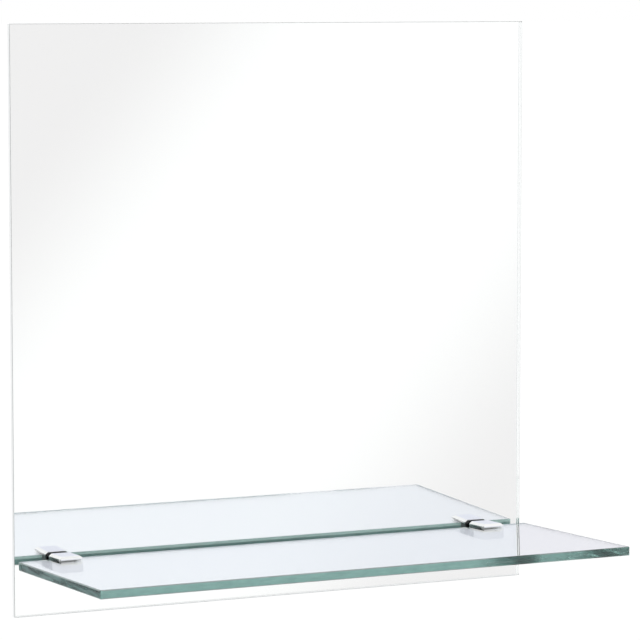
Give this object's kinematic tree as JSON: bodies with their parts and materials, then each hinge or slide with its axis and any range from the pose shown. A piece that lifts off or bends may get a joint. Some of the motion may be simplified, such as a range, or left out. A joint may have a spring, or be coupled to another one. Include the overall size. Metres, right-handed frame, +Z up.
{
  "type": "mirror with shelf",
  "caption": "Frameless wall mirror with a clear glass shelf held near its lower edge by small chrome screw clamps; hangs on wall screws by slotted plates.",
  "frame": {"origin": "on the wall's face, midway between the two wall screws that the hanging plates go over", "axes": "+X to the right as seen from the room, +Y into the wall, +Z up"},
  "size_m": [0.388, 0.1678, 0.4],
  "materials": {
    "mirror_glass": "clear float glass, polished, ground arris",
    "silver_coat": "silvered",
    "safety_film": "woven grey film",
    "shelf_glass": "clear tempered glass with green edges",
    "clamp_chrome": "polished chrome on zinc die casting",
    "gasket": "black, smooth",
    "soft_pad": "dark grey, smooth",
    "pressure_pad": "white nylon",
    "clamp_screw": "nickel-plated",
    "fixing_screw": "zinc-plated",
    "back_washer": "zinc-plated",
    "hole_bush": "white nylon",
    "hanging_plate": "zinc-plated sheet",
    "plate_tape": "grey foam mounting tape",
    "wall_bumper": "clear-grey soft plastic"
  },
  "bodies": {
    "mirror": {"mirror_glass": "mirror_glass", "silver_coat": "silver_coat", "safety_film": "safety_film", "left_clamp_body": "clamp_chrome", "left_clamp_gasket": "gasket", "left_upper_pad": "soft_pad", "left_fixing_screw": "fixing_screw", "left_back_washer": "back_washer", "left_hole_bush": "hole_bush", "left_hanging_plate": "hanging_plate", "left_plate_tape": "plate_tape", "left_wall_bumper": "wall_bumper", "right_clamp_body": "clamp_chrome", "right_clamp_gasket": "gasket", "right_upper_pad": "soft_pad", "right_fixing_screw": "fixing_screw", "right_back_washer": "back_washer", "right_hole_bush": "hole_bush", "right_hanging_plate": "hanging_plate", "right_plate_tape": "plate_tape", "right_wall_bumper": "wall_bumper"},
    "shelf": {"shelf_glass": "shelf_glass"},
    "left_pad": {"left_pressure_pad": "pressure_pad"},
    "left_screw": {"left_clamp_screw": "clamp_screw"},
    "right_pad": {"right_pressure_pad": "pressure_pad"},
    "right_screw": {"right_clamp_screw": "clamp_screw"}
  },
  "joints": [
    {"name": "shelf_slide", "type": "slide", "parent": "mirror", "child": "shelf", "axis": [0, -0.9994, 0.0349], "range_m": [0, 0.04]},
    {"name": "left_pad_slide", "type": "slide", "parent": "mirror", "child": "left_pad", "axis": [0, -0.0349, -0.9994], "range_m": [0, 0.0016]},
    {"name": "left_screw_turn", "type": "hinge", "parent": "left_pad", "child": "left_screw", "pos_m": [-0.161, -0.02554, -0.30023], "axis": [0, -0.0349, -0.9994], "range_deg": [0, 720]},
    {"name": "right_pad_slide", "type": "slide", "parent": "mirror", "child": "right_pad", "axis": [0, -0.0349, -0.9994], "range_m": [0, 0.0016]},
    {"name": "right_screw_turn", "type": "hinge", "parent": "right_pad", "child": "right_screw", "pos_m": [0.161, -0.02554, -0.30023], "axis": [0, -0.0349, -0.9994], "range_deg": [0, 720]}
  ],
  "couplings": [
    {"joint": "left_screw_turn", "follows": "left_pad_slide", "rad_per_m": 7854},
    {"joint": "right_screw_turn", "follows": "right_pad_slide", "rad_per_m": 7854}
  ]
}
